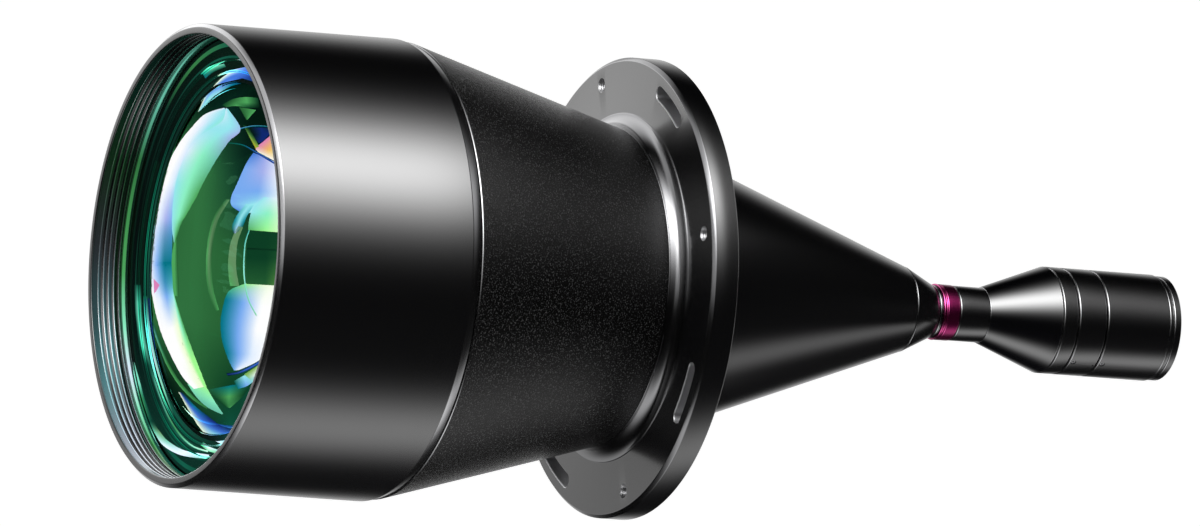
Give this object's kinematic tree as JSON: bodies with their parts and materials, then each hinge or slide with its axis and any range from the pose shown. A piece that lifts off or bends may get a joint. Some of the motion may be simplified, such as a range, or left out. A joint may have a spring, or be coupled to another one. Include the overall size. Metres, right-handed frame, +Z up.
{
  "type": "bi-telecentric lens",
  "caption": "Large bi-telecentric machine vision lens: wide front hood, tapered body with a mounting flange, coloured aperture ring and slim camera barrel.",
  "frame": {"origin": "on the optical axis, in the plane of the mounting flange's rear seating face", "axes": "+Y along the optical axis from the front glass to the camera end; +Z up through the middle of one flange slot; +X through the middle of the next slot"},
  "size_m": [0.2, 0.4696, 0.2],
  "materials": {
    "satin_black": "satin black anodised",
    "cell_black": "matte black anodised",
    "baffle_black": "flat anti-reflection black",
    "textured_black": "fine crinkle black paint on aluminium",
    "flange_black": "satin black anodised",
    "gloss_black": "polished black anodised",
    "magenta_anodised": "gloss magenta anodised",
    "screw_steel": "plain steel",
    "front_glass": "polished, green anti-reflection coating",
    "inner_glass": "polished, green anti-reflection coating",
    "rear_glass": "polished, blue anti-reflection coating"
  },
  "bodies": {
    "root": {"front_hood": "satin_black", "lens_cell": "cell_black", "front_retaining_ring": "cell_black", "front_lens": "front_glass", "lens_spacer": "baffle_black", "doublet_crown": "inner_glass", "doublet_flint": "inner_glass", "front_cone": "textured_black", "front_baffle": "baffle_black", "mounting_flange": "flange_black", "rear_cone": "satin_black", "rear_baffle": "baffle_black", "nose_cone": "satin_black", "lock_ring": "gloss_black", "aperture_ring": "magenta_anodised", "aperture_stop": "baffle_black", "neck_tube": "satin_black", "rear_taper": "gloss_black", "taper_collar": "satin_black", "adjusting_ring": "satin_black", "rear_barrel": "satin_black", "rear_lens_first": "rear_glass", "rear_lens_second": "rear_glass", "rear_lens_spacer": "baffle_black", "rear_retaining_ring": "baffle_black", "camera_ring": "satin_black", "adjusting_set_screw": "screw_steel", "barrel_set_screw": "screw_steel"}
  },
  "joints": []
}
